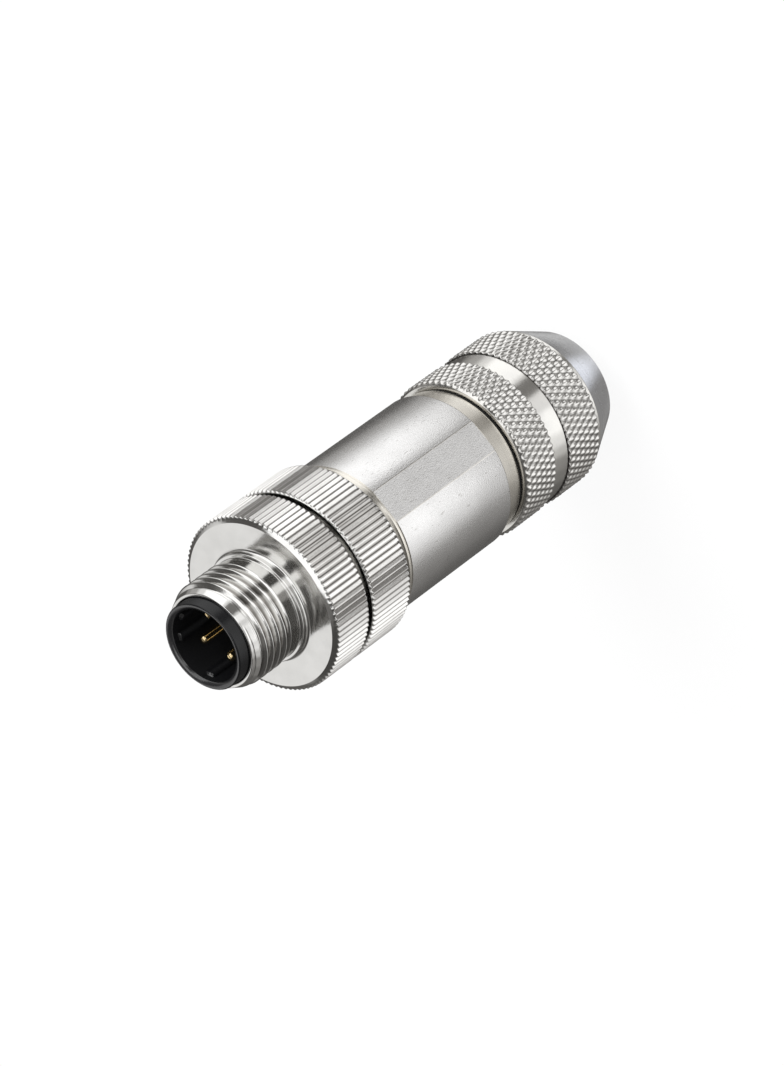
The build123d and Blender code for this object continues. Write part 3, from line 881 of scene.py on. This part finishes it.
@dataclass
class CouplingScrew(Component):
    """Threaded sleeve, disc and knurled ring, free to turn on the holder."""

    node: str = "coupling_screw"
    knurl: KnurledRing = KnurledRing()
    thread: Thread = Thread(6.0, 68, depth=0.56, run_out=0.9)
    thread_length: float = 5.5
    crest_height: float = 57.34
    bore: float = 5.0
    nose_radius: float = 5.35
    nose_edge: float = 0.12
    lead_in: float = 1.4
    lead_in_rows: int = 22
    run_out_edge: float = 0.05
    run_out_rows: int = 3
    shank_radius: float = 5.8
    shank_edge: float = 0.1
    shank_rows: int = 10
    shank_fillet: float = 0.08
    boss_radius: float = 6.2
    boss_length: float = 0.75
    boss_edge: float = 0.14
    boss_fillet: float = 0.5
    sleeve_length: float = 7.85
    disc_thickness: float = 1.7
    counterbore: float = 7.9
    mouth_edge: float = 0.1
    groove_radius: float = 8.45
    groove_height: float = 1.0
    groove_drop: float = 3.55

    @property
    def front(self) -> float:
        """Return the height of the disc's front face."""
        return self.tip - self.sleeve_length

    def outline(self) -> list[Corner]:
        """Draw the half section, from the bore over the thread and the ring to the counterbore.

        Returns:
            Its corners, in order.
        """
        disc_back = self.front - self.disc_thickness
        thread_end = self.tip - self.thread_length
        boss_top = self.front + self.boss_length
        groove_middle = self.front - self.groove_drop
        groove_top = groove_middle + self.groove_height / 2
        groove_bottom = groove_middle - self.groove_height / 2
        run_out_end = thread_end - (self.thread.radius - self.shank_radius)
        return [
            Corner(self.bore, disc_back),
            Corner(self.bore, self.tip, self.nose_edge),
            Corner(self.nose_radius, self.tip, self.nose_edge, self.lead_in_rows),
            Corner(self.thread.radius, self.tip - self.lead_in, 0.0, self.thread.rows),
            Corner(self.thread.radius, thread_end, self.run_out_edge, self.run_out_rows),
            Corner(self.shank_radius, run_out_end, self.shank_edge, self.shank_rows),
            Corner(self.shank_radius, boss_top, self.shank_fillet),
            Corner(self.boss_radius, boss_top, self.boss_edge),
            Corner(self.boss_radius, self.front, self.boss_fillet),
            *self.knurl.outline(self.back, self.front),
            Corner(self.counterbore, self.back, self.mouth_edge),
            Corner(self.counterbore, groove_bottom),
            *steps((self.groove_radius, groove_bottom, groove_top),
                   (self.counterbore, groove_top, disc_back)),
        ]

    def mesh(self) -> Mesh:
        """Turn the blank, and cut its thread and knurl.

        Returns:
            The finished mesh, with its materials.
        """
        blank = turned_mesh(self.node, self.outline(), self.knurl.turns())
        start = self.tip - self.thread_length - self.thread.pitch / 2
        threaded = self.thread.cut(blank, start, self.tip, self.crest_height)
        knurled = self.knurl.cut(threaded, self.back, self.front)
        # painted shade: the thread's tint darkens towards the floor of its groove
        dress(knurled, THREAD_NICKEL, lambda middle, normal:
              start < middle.z < self.tip - self.lead_in
              and middle.xy.length > self.thread.radius - self.thread.wall)
        return knurled


@dataclass
class InsertHolder(Component):
    """Second knurled ring, with a neck at each side that carries the coupling screw and the housing."""

    node: str = "insert_holder"
    knurl: KnurledRing = KnurledRing(front_chamfer=0.28, front_chamfer_length=0.28)
    thread: Thread = Thread(7.5, 64)
    thread_edge: float = 0.25
    neck_radius: float = 7.8
    neck_edge: float = 0.2
    neck_length: float = 6.15
    seal_groove: float = 1.1
    seal_seat: float = 6.87
    ring_length: float = 6.1
    bore: float = 6.48
    mouth_edge: float = 0.1
    lip_bore: float = 5.0
    lip: float = 1.0
    groove_radius: float = 7.32
    groove_height: float = 0.86
    groove_above_ring: float = 2.45

    @property
    def ring_back(self) -> float:
        """Return the height of the ring's back face."""
        return self.back + self.neck_length

    @property
    def ring_front(self) -> float:
        """Return the height of the ring's front face."""
        return self.ring_back + self.ring_length

    @property
    def seal_floor(self) -> float:
        """Return the height where the thread ends and the seal's groove starts."""
        return self.ring_back - self.seal_groove

    def outline(self) -> list[Corner]:
        """Draw the half section, from the rear thread over the ring and the front neck to the bore.

        Returns:
            Its corners, in order.
        """
        groove_middle = self.ring_front + self.groove_above_ring
        groove_bottom = groove_middle - self.groove_height / 2
        groove_top = groove_middle + self.groove_height / 2
        return [
            Corner(self.bore, self.back, self.mouth_edge),
            Corner(self.thread.radius, self.back, self.thread_edge, self.thread.rows),
            Corner(self.thread.radius, self.seal_floor),
            *steps((self.seal_seat, self.seal_floor, self.ring_back)),
            *reversed(self.knurl.outline(self.ring_back, self.ring_front)),
            *steps((self.neck_radius, self.ring_front, groove_bottom),
                   (self.groove_radius, groove_bottom, groove_top)),
            Corner(self.neck_radius, groove_top),
            Corner(self.neck_radius, self.tip, self.neck_edge),
            *steps((self.lip_bore, self.tip, self.tip - self.lip)),
            Corner(self.bore, self.tip - self.lip),
        ]

    def mesh(self) -> Mesh:
        """Turn the blank, and cut its thread and knurl.

        Returns:
            The finished mesh, with its materials.
        """
        blank = turned_mesh(self.node, self.outline(), self.knurl.turns())
        threaded = self.thread.cut_from_end(blank, self.back, self.seal_floor)
        return self.knurl.cut(threaded, self.ring_back, self.ring_front)


@dataclass
class Housing(Component):
    """Turned barrel with two spanner flats, a polished edge at each end, a thread behind and a plain bore
    inside for the front thread.
    """

    node: str = "housing"
    thread: Thread = Thread(7.9, 72, finish=SATIN_NICKEL)
    thread_edge: float = 0.3
    radius: float = 9.0
    barrel_length: float = 18.2
    barrel_edge: float = 0.2
    collar_radius: float = 8.5
    collar_length: float = 2.4
    collar_edge: float = 0.3
    nose_radius: float = 8.6
    nose_length: float = 0.7
    nose_chamfer: float = 0.4
    nose_edge: float = 0.06
    land_length: float = 0.35
    land_groove: float = 0.12
    groove_edge: float = 0.03
    groove_fillet: float = 0.04
    polish_overlap: float = 0.1
    rear_bore: float = 6.9
    mouth_edge: float = 0.1
    seal_seat: float = 7.37
    seal_groove: float = 1.1
    seal_bore: float = 7.9
    front_thread_bore: float = 7.6
    chamber: float = 7.0
    chamber_front: float = 32.7
    web_radius: float = 5.2
    web_length: float = 1.5
    flat_turn: float = 62.0
    flat_width: float = 3.9
    border_half_turn: float = 0.35
    column_step: float = 1.25

    @property
    def barrel_end(self) -> float:
        """Return the height of the barrel's rear edge."""
        return self.tip - self.barrel_length

    @property
    def seal_floor(self) -> float:
        """Return the height where the rear thread ends and the seal's groove starts."""
        return self.barrel_end - self.collar_length - self.seal_groove

    @property
    def land_front(self) -> float:
        """Return the height of the front edge of the polished land."""
        return self.tip - self.nose_length - self.nose_chamfer

    @property
    def land_back(self) -> float:
        """Return the height of its rear edge, in the middle of the fine groove."""
        return self.land_front - self.land_length

    @property
    def flat_half_turn(self) -> float:
        """Return half the turn that a flat takes up."""
        return asin(self.flat_width / 2 / self.radius)

    def outline(self) -> list[Corner]:
        """Draw the half section, from the rear thread over the barrel to the bores inside.

        Returns:
            Its corners, in order.
        """
        collar_end = self.barrel_end - self.collar_length
        web_front = self.barrel_end + self.web_length
        return [
            Corner(self.rear_bore, self.back, self.mouth_edge),
            Corner(self.thread.radius, self.back, self.thread_edge, self.thread.rows),
            Corner(self.thread.radius, self.seal_floor),
            *steps((self.seal_seat, self.seal_floor, collar_end)),
            Corner(self.collar_radius, collar_end, self.collar_edge),
            Corner(self.collar_radius, self.barrel_end, self.collar_edge),
            Corner(self.radius, self.barrel_end, self.barrel_edge),
            Corner(self.radius, self.land_back - self.land_groove, self.groove_edge),
            Corner(self.radius - self.land_groove, self.land_back, self.groove_fillet),
            Corner(self.radius, self.land_back + self.land_groove, self.groove_edge),
            Corner(self.radius, self.land_front, self.nose_edge),
            Corner(self.nose_radius, self.land_front + self.nose_chamfer, self.nose_edge),
            Corner(self.nose_radius, self.tip, self.nose_edge),
            *steps((self.seal_bore, self.tip, self.tip - self.seal_groove),
                   (self.front_thread_bore, self.tip - self.seal_groove, self.chamber_front),
                   (self.chamber, self.chamber_front, web_front),
                   (self.web_radius, web_front, self.barrel_end)),
            Corner(self.rear_bore, self.barrel_end),
        ]

    def off_flat(self, turn: float) -> float:
        """Return the turn away from the middle of the nearer flat."""
        return (turn - radians(self.flat_turn) + pi / 2) % pi - pi / 2

    def on_border(self, middle: Vector) -> bool:
        """Return whether a face of the barrel lies along a long border of a flat."""
        off = abs(self.off_flat(atan2(middle.y, middle.x)))
        return abs(off - self.flat_half_turn) < radians(self.border_half_turn)

    def turns(self) -> list[float]:
        """Place the columns of the blank.

        Returns:
            The turns of evenly spaced columns, with three at each border of the flats.
        """
        step = radians(self.column_step)
        half = self.flat_half_turn
        border = radians(self.border_half_turn)
        evenly = [column * step for column in range(round(2 * pi / step))]
        turns = [turn for turn in evenly if abs(abs(self.off_flat(turn)) - half) > step / 2]
        for middle in (radians(self.flat_turn), radians(self.flat_turn) + pi):
            for edge in (middle - half, middle + half):
                turns += [edge - border, edge, edge + border]
        return sorted(turns)

    def trim(self, radius: float, turn: float, height: float) -> float:
        """Cut the flats into the barrel.

        Args:
            radius: The radius of a point of the round barrel.
            turn: Its turn round the axis.
            height: Its height.

        Returns:
            The radius that the flats leave there.
        """
        off = self.off_flat(turn)
        on_barrel = radius >= self.collar_radius + NEAR and self.barrel_end <= height <= self.land_back
        if on_barrel and abs(off) < self.flat_half_turn:
            return min(radius, self.radius * cos(self.flat_half_turn) / cos(off))
        return radius

    def mesh(self) -> Mesh:
        """Turn the blank, cut its thread, polish its ends and burnish the flats' long borders, whose
        burnished strips get a darker tint as painted shade.

        Returns:
            The finished mesh, with its materials.
        """
        blank = turned_mesh(self.node, self.outline(), self.turns(), self.trim)
        threaded = self.thread.cut_from_end(blank, self.back, self.seal_floor)
        low = self.barrel_end + self.polish_overlap
        high = self.land_back
        # painted shade: darker burnished strips along the flats' long borders
        dress(threaded, BURNISHED_SHADED_NICKEL, lambda middle, normal:
              low < middle.z < high and self.on_border(middle))
        burnished_and_shaded = len(threaded.materials) - 1
        dress(threaded, POLISHED_NICKEL, lambda middle, normal:
              middle.z < low or middle.z > high - self.land_groove)
        sharpen(threaded, lambda edge: any(face.material_index == burnished_and_shaded for face in edge.link_faces))
        return threaded


@dataclass(frozen=True)
class Band:
    """A knurled band of the nut: its ends, the radius of its crests, and that of the wall at its foot."""

    start: float
    end: float
    radius: float
    foot: float


@dataclass
class ClampNut(Component):
    """Nut with two diamond-knurled bands, a groove between them and a coned cable end."""

    node: str = "clamp_nut"
    hole: float = 4.25
    hole_length: float = 3.4
    hole_chamfer: float = 0.3
    hole_edge: float = 0.1
    end_radius: float = 6.5
    end_edge: float = 0.2
    cone_length: float = 5.3
    cone_top: float = 9.07
    cone_edge: float = 0.3
    rear_band_start: float = 5.76
    rear_band_length: float = 5.29
    rear_band_radius: float = 9.35
    groove_length: float = 2.34
    groove_radius: float = 9.0
    front_band_radius: float = 9.28
    band_edge: float = 0.05
    band_chamfer: float = 0.2
    front_chamfer: float = 0.4
    front_edge: float = 0.08
    face_bore: float = 8.4
    seal_floor: float = 17.45
    thread_bore: float = 8.0
    thread_start: float = 9.5
    clamp_start: float = 5.2
    clamp_top: float = 7.0
    clamp_top_height: float = 6.518
    knurl_starts: int = 68
    knurl_rise: float = 1.70
    knurl_depth: float = 0.27
    knurl_pit: float = 0.45
    columns_a_start: int = 8
    rows_a_millimetre: float = 4.7

    def bands(self) -> tuple[Band, Band]:
        """Place the knurled bands.

        Returns:
            The rear and the front band.
        """
        rear_end = self.rear_band_start + self.rear_band_length
        return (
            Band(self.rear_band_start, rear_end, self.rear_band_radius, self.cone_top),
            Band(rear_end + self.groove_length, self.tip, self.front_band_radius, self.groove_radius),
        )

    def rows(self, length: float) -> int:
        """Return how many rows a knurled length needs."""
        return round(length * self.rows_a_millimetre)

    def outline(self) -> list[Corner]:
        """Draw the half section, from the cone over both bands to the bores inside.

        Returns:
            Its corners, in order.
        """
        rear, front = self.bands()
        edge = self.band_edge
        chamfer_start = self.tip - self.front_chamfer
        return [
            Corner(self.hole + self.hole_chamfer, self.back, edge),
            Corner(self.end_radius, self.back, self.end_edge),
            Corner(self.cone_top, self.cone_length, self.cone_edge),
            Corner(self.cone_top, rear.start),
            Corner(rear.radius, rear.start, edge, self.rows(self.rear_band_length)),
            Corner(rear.radius, rear.end - self.band_chamfer, edge, self.rows(self.band_chamfer)),
            Corner(self.groove_radius, rear.end, edge),
            Corner(self.groove_radius, front.start),
            Corner(front.radius, front.start, edge, self.rows(chamfer_start - front.start)),
            Corner(front.radius, chamfer_start, edge, self.rows(self.front_chamfer)),
            Corner(front.radius - self.front_chamfer, self.tip, self.front_edge),
            *steps((self.face_bore, self.tip, self.seal_floor),
                   (self.thread_bore, self.seal_floor, self.thread_start),
                   (self.clamp_top, self.thread_start, self.clamp_top_height)),
            Corner(self.clamp_start, self.hole_length),
            Corner(self.hole, self.hole_length),
            Corner(self.hole, self.hole_chamfer, self.hole_edge),
        ]

    def mesh(self) -> Mesh:
        """Turn the blank, cut both bands and finish them and the cone.

        Returns:
            The finished mesh, with its materials.
        """
        columns = self.knurl_starts * self.columns_a_start
        turns = [2 * pi * column / columns for column in range(columns)]
        mesh = turned_mesh(self.node, self.outline(), turns)
        for band in self.bands():
            mesh = relief(DiamondKnurl).carve(
                mesh, NUT_NICKEL, band.start - NEAR, band.end, band.foot + NEAR, Starts=self.knurl_starts,
                Rise=self.knurl_rise, Depth=self.knurl_depth, Radius=band.radius, Pit=self.knurl_pit)
        dress(mesh, TURNED_NICKEL, lambda middle, normal: middle.z < self.cone_length)
        # painted shade: each band's tint darkens towards the floor of its grooves and pits
        for place, band in enumerate(self.bands(), 1):
            name = f"{DIAMOND_NICKEL.name}_{place}"
            end = min(band.end, self.tip - self.front_chamfer)
            dress(mesh, replace(DIAMOND_NICKEL, name=name, crest_radius=band.radius), lambda middle, normal:
                  band.start < middle.z < end and middle.xy.length > self.face_bore + NEAR)
        return mesh


@dataclass
class CarriedPiece(Component):
    """A node whose own form is right: its mesh is merged, smoothed and finished."""

    finish: Finish
    smooth_below: float = 32.0
    merge_distance: float = 0.0001

    def mesh(self) -> Mesh:
        """Merge, smooth and finish a copy of the node's own mesh.

        Returns:
            The finished mesh, with its materials.
        """
        form = bmesh.new()
        form.from_mesh(frame["nodes"][self.node].data)
        bmesh.ops.remove_doubles(form, verts=form.verts, dist=self.merge_distance * MM)
        mesh = bpy.data.meshes.new(self.node)
        form.to_mesh(mesh)
        form.free()
        mesh.shade_smooth()
        mesh.set_sharp_from_angle(angle=radians(self.smooth_below))
        mesh.materials.append(self.finish.material())
        return mesh


@dataclass
class ContactInsert(CarriedPiece):
    """The moulded insert, whose cup walls are a matt copy of its plastic with painted shade, and whose rib
    ends a glossy copy with painted light.
    """

    node: str = "contact_insert"
    finish: Finish = INSERT_BLACK
    cup_radius: float = 4.75
    cup_depth: float = 10.3
    below_floor: float = 0.1
    above_floor: float = 1.0
    level: float = 0.5

    def mesh(self) -> Mesh:
        """Finish the insert as a carried piece, make its cup walls matt with painted shade and its rib ends
        glossy with painted light.

        Returns:
            The finished mesh, with its materials.
        """
        mesh = super().mesh()
        floor = self.tip - self.cup_depth
        # painted shade on the cup's walls
        dress(mesh, CUP_MATT_SHADED, lambda middle, normal: middle.xy.length < self.cup_radius
              and middle.z > floor - self.below_floor and normal.z < self.level)
        # painted light on the rib ends that face up
        dress(mesh, RIB_END_LIT, lambda middle, normal: middle.xy.length < self.cup_radius
              and middle.z > floor + self.above_floor and normal.z > self.level)
        return mesh


def carried_pieces() -> list[CarriedPiece]:
    """List the pieces whose solids already have their form.

    Returns:
        The pieces, each with its finish.
    """
    finishes = {
        "terminal_screws": SCREW_STEEL,
        "insert_seal": SEAL_RUBBER,
        "insert_lock_ring": INNER_NICKEL,
        "retaining_ring": SPRING_STEEL,
        "housing_seal": SEAL_RUBBER,
        "insulating_sleeve": LINER_NATURAL,
        "shield_ring": INNER_NICKEL,
        "shield_spring": SPRING_STEEL,
        "nut_seal": SEAL_RUBBER,
        "pressure_washer": CAGE_GREY,
        "cable_seal": CABLE_RUBBER,
        "clamping_cage": CAGE_GREY,
    }
    contacts = [CarriedPiece(f"pin_{place}", GOLD) for place in (1, 3, 4)]
    return [*contacts, ContactInsert(), *(CarriedPiece(node, finish) for node, finish in finishes.items())]


@dataclass
class Studio:
    """Pale floor, soft light, the bright strips that only reflections show, and the camera.

    Each strip is where it starts, in degrees round the axis, and its brightness from there to the next.
    The low strips show in upright walls, the high ones above them, the top ones in faces that look almost
    straight up, and those of the floor in the cable end's cone, with a bluish streak straight below. The
    spans between them give the upward part of a direction, from -1 straight down to 1 straight up.
    """

    camera_place: Triple = (210.725, 336.826, 365.975)
    camera_right: Triple = (0.77587, 0.13087, -0.61717)
    camera_up: Triple = (-0.48580, 0.74807, -0.45209)
    camera_back: Triple = (0.40252, 0.65059, 0.64398)
    camera_clip: float = 10.0
    lens: float = 168.86
    lamp_place: Triple = (-220.0, 260.0, 520.0)
    lamp_power: float = 3.2
    lamp_width: float = 320.0
    floor_size: float = 4000.0
    floor_clear: float = 0.9
    floor_tint: Span = (0.86, 0.90)
    fibre_scale: float = 900.0
    fibre_reach: float = 0.2
    low_strips: Strips = (
        (-180, 0.24), (-168, 0.08), (-82, 0.10), (-64, 0.16), (-42, 0.22), (-20, 0.46), (-6, 0.74),
        (12, 1.0), (48, 0.74), (73, 0.17), (98, 0.70), (104, 1.0), (150, 0.66), (165, 0.32),
    )
    high_strips: Strips = (
        (-180, 0.08), (-168, 0.58), (-140, 0.67), (-98, 0.30), (-84, 0.05), (-20, 0.08),
        (40, 0.28), (58, 1.0), (76, 0.06), (102, 1.0), (144, 0.07),
    )
    top_strips: Strips = ((-180, 0.12), (-4, 1.0), (156, 0.12))
    floor_strips: Strips = (
        (-180, 0.13), (-163, 0.50), (-118, 0.34), (-100, 0.20), (-60, 0.26), (60, 0.30), (150, 0.16),
    )
    floor_streak: Colour = (0.92, 0.94, 1.0)
    low_to_high: Span = (0.05, 0.45)
    high_to_top: Span = (0.77, 0.86)
    floor_to_low: Span = (-0.84, -0.70)
    streak_to_floor: Span = (-0.996, -0.980)
    strip_strength: float = 1.45
    strip_fade: float = 5.0
    strip_hold: float = 1.0
    dark_warmth: Colour = (0.0, 0.04, 0.09)
    plain_strength: float = 0.85

    def build(self) -> None:
        """Build everything that isn't the connector."""
        self.add_camera()
        self.add_floor()
        self.add_sky()
        self.add_lamp()
        bpy.context.scene.view_settings.view_transform = "Standard"

    def add_camera(self) -> None:
        """Place the camera at the photo's viewing angle."""
        data = bpy.data.cameras.new("camera")
        data.lens = self.lens
        data.clip_start = self.camera_clip * MM
        camera = bpy.data.objects.new("camera", data)
        axes = Matrix((self.camera_right, self.camera_up, self.camera_back)).transposed()
        camera.matrix_world = Matrix.Translation(Vector(self.camera_place) * MM) @ axes.to_4x4()
        bpy.context.scene.collection.objects.link(camera)
        bpy.context.scene.camera = camera

    def add_lamp(self) -> None:
        """Add a soft lamp that faces the connector."""
        data = bpy.data.lights.new("key_light", "AREA")
        data.energy = self.lamp_power
        data.size = self.lamp_width * MM
        lamp = bpy.data.objects.new("key_light", data)
        lamp.location = Vector(self.lamp_place) * MM
        lamp.rotation_euler = (-lamp.location).to_track_quat("-Z", "Y").to_euler()
        lamp.visible_glossy = False
        bpy.context.scene.collection.objects.link(lamp)

    def add_floor(self) -> None:
        """Lay the floor: the camera sees a faint shadow on it, and what a joint lowers through it."""
        half = self.floor_size / 2 * MM
        corners = [(-half, -half, 0), (half, -half, 0), (half, half, 0), (-half, half, 0)]
        mesh = bpy.data.meshes.new("floor")
        mesh.from_pydata(corners, [], [range(len(corners))])
        floor = bpy.data.objects.new("floor", mesh)
        floor.visible_glossy = False
        bpy.context.scene.collection.objects.link(floor)
        material = bpy.data.materials.new("floor_paper")
        graph = empty_graph(material)
        noise = graph.noise(graph.node("ShaderNodeTexCoord").outputs["Object"], self.fibre_scale)
        fibre = graph.mottled(noise, *self.floor_tint, self.fibre_reach)
        tint = graph.result("ShaderNodeCombineColor", {0: fibre, 1: fibre, 2: fibre})
        paper = graph.result("ShaderNodeBsdfDiffuse", {0: tint})
        clear = graph.result("ShaderNodeBsdfTransparent")
        seen = graph.product(graph.node("ShaderNodeLightPath").outputs["Is Camera Ray"], self.floor_clear)
        under = graph.node("ShaderNodeNewGeometry").outputs["Backfacing"]
        mixed = {0: graph.maths("MAXIMUM", seen, under), 1: paper, 2: clear}
        shown = graph.result("ShaderNodeMixShader", mixed)
        graph.node("ShaderNodeOutputMaterial", {"Surface": shown})
        mesh.materials.append(material)

    def add_sky(self) -> None:
        """Surround the connector with plain light, and with strips that only reflections show."""
        world = bpy.data.worlds.new("studio")
        bpy.context.scene.world = world
        graph = empty_graph(world)
        x, y, z = graph.split(graph.node("ShaderNodeTexCoord").outputs["Generated"])
        turn = graph.spread(graph.maths("ARCTAN2", y, x), -pi, pi)
        low, high, top, ground = (self.strip_ramp(graph, turn, strips) for strips in (
            self.low_strips, self.high_strips, self.top_strips, self.floor_strips))
        below = graph.blend(graph.spread(z, *self.streak_to_floor), opaque(self.floor_streak), ground)
        walls = graph.blend(graph.spread(z, *self.low_to_high, ease="SMOOTHSTEP"), low, high)
        domed = graph.blend(graph.spread(z, *self.high_to_top, ease="SMOOTHSTEP"), walls, top)
        strips = graph.blend(graph.spread(z, *self.floor_to_low, ease="SMOOTHSTEP"), below, domed)
        path = graph.node("ShaderNodeLightPath").outputs
        mirrored = graph.result("ShaderNodeBackground", {0: strips, 1: self.strip_strength})
        plain = graph.result("ShaderNodeBackground", {0: WHITE, 1: self.plain_strength})
        white = graph.result("ShaderNodeBackground", {0: WHITE, 1: 1.0})
        lit = graph.result("ShaderNodeMixShader", {0: path["Is Glossy Ray"], 1: plain, 2: mirrored})
        shown = graph.result("ShaderNodeMixShader", {0: path["Is Camera Ray"], 1: lit, 2: white})
        graph.node("ShaderNodeOutputWorld", {"Surface": shown})

    def strip_ramp(self, graph: Graph, turn: Socket, strips: Strips) -> Socket:
        """Add a ramp round the axis, with each strip held until shortly before the next.

        Args:
            graph: The world's nodes.
            turn: The direction round the axis, from 0 to 1.
            strips: Where each strip starts, in degrees, and its brightness.

        Returns:
            The strips' light, which is warmer where it is dark.
        """
        ramp = graph.node("ShaderNodeValToRGB", {0: turn})
        ends = [start for start, _ in strips[1:]] + [180.0]
        stops = []
        for (start, level), end in zip(strips, ends):
            stops += [(start, level), (max(start + self.strip_hold, end - self.strip_fade), level)]
        elements = ramp.color_ramp.elements
        for place, (angle, level) in enumerate(stops):
            position = (angle + 180.0) / 360.0
            stop = elements[place] if place < len(elements) else elements.new(position)
            stop.position = position
            darkness = (1.0 - level) ** 2
            stop.color = opaque(tuple(level * (1.0 - share * darkness) for share in self.dark_warmth))
        return ramp.outputs[0]


def main() -> None:
    """Build the connector and its studio, and report each piece."""
    logging.basicConfig(level=logging.INFO, format="%(message)s")
    Studio().build()
    for component in (CouplingScrew(), InsertHolder(), Housing(), ClampNut(), *carried_pieces()):
        piece = component.build()
        LOG.info("%s: %d faces", piece.name, len(piece.data.polygons))


if __name__ == "__main__":
    main()
